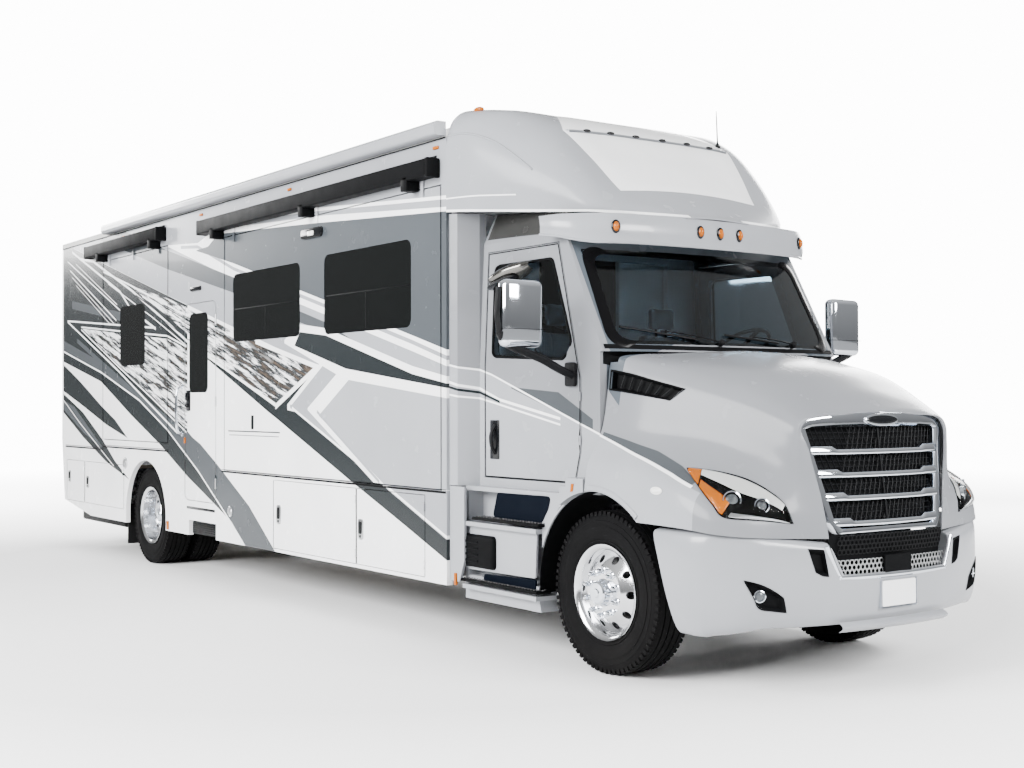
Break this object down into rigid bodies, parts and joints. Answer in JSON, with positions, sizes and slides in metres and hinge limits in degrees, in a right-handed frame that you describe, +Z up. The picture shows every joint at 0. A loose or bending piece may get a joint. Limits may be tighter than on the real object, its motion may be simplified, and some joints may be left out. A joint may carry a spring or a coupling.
{
  "type": "motorhome",
  "caption": "Long-nosed motorhome: truck cab and chassis under a tall box body with slide-out rooms, storage bays, an entry door and a tilting hood.",
  "frame": {"origin": "on the ground, midway between the nose and the tail, on the vehicle's centre line", "axes": "+X towards the nose, +Y to the vehicle's left, +Z up"},
  "size_m": [11.97, 3.42, 4.0399],
  "materials": {
    "body_paint": "gloss",
    "cabin_trim": "matte",
    "cast": "matte",
    "chrome": "polished",
    "dark_glass": "gloss",
    "floor": "matte",
    "lamp": "gloss",
    "polished_rim": "polished",
    "roof_skin": "satin",
    "screen_glass": "gloss",
    "seat_fabric": "satin",
    "slide_paint": "gloss",
    "steel_black": "satin",
    "tyre": "matte"
  },
  "bodies": {
    "coach": {"chassis_frame": "steel_black", "fuel_tanks": "steel_black", "tow_receiver": "steel_black", "engine_block": "cast", "front_axle": "steel_black", "rear_axle": "steel_black", "coach_floor": "floor", "floor_tubs": "steel_black", "left_wall": "body_paint", "right_wall": "body_paint", "end_walls": "body_paint", "wall_glass": "dark_glass", "roof": "roof_skin", "roof_units": "roof_skin", "patio_awning": "body_paint", "front_cap": "body_paint", "cab_shell": "body_paint", "windshield": "screen_glass", "sun_visor": "body_paint", "dashboard": "cabin_trim", "cab_seats": "seat_fabric", "front_bumper": "body_paint", "step_fairings": "body_paint"},
    "hood": {"hood": "body_paint", "headlights": "lamp", "grille": "chrome"},
    "steering_wheel": {"steering_wheel": "cabin_trim"},
    "entry_door": {"entry_door": "body_paint", "entry_door_glass": "dark_glass"},
    "right_front_slide": {"right_front_slide": "slide_paint", "right_front_slide_glass": "dark_glass"},
    "left_front_slide": {"left_front_slide": "slide_paint", "left_front_slide_glass": "dark_glass"},
    "right_rear_slide": {"right_rear_slide": "slide_paint", "right_rear_slide_glass": "dark_glass"},
    "right_tail_bay_door": {"right_tail_bay_door": "body_paint"},
    "right_rear_bay_door": {"right_rear_bay_door": "body_paint"},
    "right_middle_bay_door": {"right_middle_bay_door": "body_paint"},
    "right_front_bay_door": {"right_front_bay_door": "body_paint"},
    "left_middle_bay_door": {"left_middle_bay_door": "body_paint"},
    "left_front_bay_door": {"left_front_bay_door": "body_paint"},
    "left_cab_door": {"left_cab_door": "body_paint", "left_cab_door_glass": "dark_glass", "left_mirror": "chrome"},
    "right_cab_door": {"right_cab_door": "body_paint", "right_cab_door_glass": "dark_glass", "right_mirror": "chrome"},
    "left_knuckle": {"left_knuckle": "cast"},
    "right_knuckle": {"right_knuckle": "cast"},
    "front_left_wheel": {"front_left_tyre": "tyre", "front_left_rim": "polished_rim"},
    "front_right_wheel": {"front_right_tyre": "tyre", "front_right_rim": "polished_rim"},
    "rear_left_wheels": {"rear_left_tyres": "tyre", "rear_left_rims": "polished_rim"},
    "rear_right_wheels": {"rear_right_tyres": "tyre", "rear_right_rims": "polished_rim"}
  },
  "joints": [
    {"name": "right_front_slide_out", "type": "slide", "parent": "coach", "child": "right_front_slide", "axis": [0, -1, 0], "range_m": [0, 0.8]},
    {"name": "left_front_slide_out", "type": "slide", "parent": "coach", "child": "left_front_slide", "axis": [0, 1, 0], "range_m": [0, 0.8]},
    {"name": "right_rear_slide_out", "type": "slide", "parent": "coach", "child": "right_rear_slide", "axis": [0, -1, 0], "range_m": [0, 0.54]},
    {"name": "hood_tilt", "type": "hinge", "parent": "coach", "child": "hood", "pos_m": [5.945, 0, 0.94], "axis": [0, 1, 0], "range_deg": [0, 60]},
    {"name": "entry_door_hinge", "type": "hinge", "parent": "coach", "child": "entry_door", "pos_m": [-1.203, -1.3033, 1.746], "axis": [0, 0, 1], "range_deg": [0, 95]},
    {"name": "right_tail_bay_door_hinge", "type": "hinge", "parent": "coach", "child": "right_tail_bay_door", "pos_m": [-5.126, -1.3033, 0.795], "axis": [0, 0, 1], "range_deg": [0, 90]},
    {"name": "right_rear_bay_door_hinge", "type": "hinge", "parent": "coach", "child": "right_rear_bay_door", "pos_m": [-3.768, -1.3033, 0.795], "axis": [0, 0, 1], "range_deg": [0, 90]},
    {"name": "right_middle_bay_door_hinge", "type": "hinge", "parent": "coach", "child": "right_middle_bay_door", "pos_m": [1.599, -1.3033, 0.7375], "axis": [0, 0, 1], "range_deg": [0, 90]},
    {"name": "right_front_bay_door_hinge", "type": "hinge", "parent": "coach", "child": "right_front_bay_door", "pos_m": [2.657, -1.3033, 0.7375], "axis": [0, 0, 1], "range_deg": [0, 90]},
    {"name": "left_middle_bay_door_hinge", "type": "hinge", "parent": "coach", "child": "left_middle_bay_door", "pos_m": [1.599, 1.3033, 0.7375], "axis": [0, 0, -1], "range_deg": [0, 90]},
    {"name": "left_front_bay_door_hinge", "type": "hinge", "parent": "coach", "child": "left_front_bay_door", "pos_m": [2.657, 1.3033, 0.7375], "axis": [0, 0, -1], "range_deg": [0, 90]},
    {"name": "left_cab_door_hinge", "type": "hinge", "parent": "coach", "child": "left_cab_door", "pos_m": [4.297, 1.1083, 1.6], "axis": [0, 0, -1], "range_deg": [0, 65]},
    {"name": "right_cab_door_hinge", "type": "hinge", "parent": "coach", "child": "right_cab_door", "pos_m": [4.297, -1.1083, 1.6], "axis": [0, 0, 1], "range_deg": [0, 65]},
    {"name": "left_steer", "type": "hinge", "parent": "coach", "child": "left_knuckle", "pos_m": [4.6, 0.9, 0.52], "axis": [0, 0, 1], "range_deg": [-38, 38]},
    {"name": "right_steer", "type": "hinge", "parent": "coach", "child": "right_knuckle", "pos_m": [4.6, -0.9, 0.52], "axis": [0, 0, 1], "range_deg": [-38, 38]},
    {"name": "front_left_wheel_spin", "type": "hinge", "parent": "left_knuckle", "child": "front_left_wheel", "pos_m": [4.6, 1.02, 0.52], "axis": [0, 1, 0], "continuous": true},
    {"name": "front_right_wheel_spin", "type": "hinge", "parent": "right_knuckle", "child": "front_right_wheel", "pos_m": [4.6, -1.02, 0.52], "axis": [0, 1, 0], "continuous": true},
    {"name": "rear_left_wheels_spin", "type": "hinge", "parent": "coach", "child": "rear_left_wheels", "pos_m": [-3.1, 0.9215, 0.52], "axis": [0, 1, 0], "continuous": true},
    {"name": "rear_right_wheels_spin", "type": "hinge", "parent": "coach", "child": "rear_right_wheels", "pos_m": [-3.1, -0.9215, 0.52], "axis": [0, 1, 0], "continuous": true},
    {"name": "steering_wheel_turn", "type": "hinge", "parent": "coach", "child": "steering_wheel", "pos_m": [4.15, 0.5, 2.12], "axis": [-0.5736, 0, 0.8192], "range_deg": [-610, 610]}
  ],
  "couplings": [
    {"joint": "right_steer", "follows": "left_steer", "ratio": 1},
    {"joint": "steering_wheel_turn", "follows": "left_steer", "ratio": 16}
  ]
}
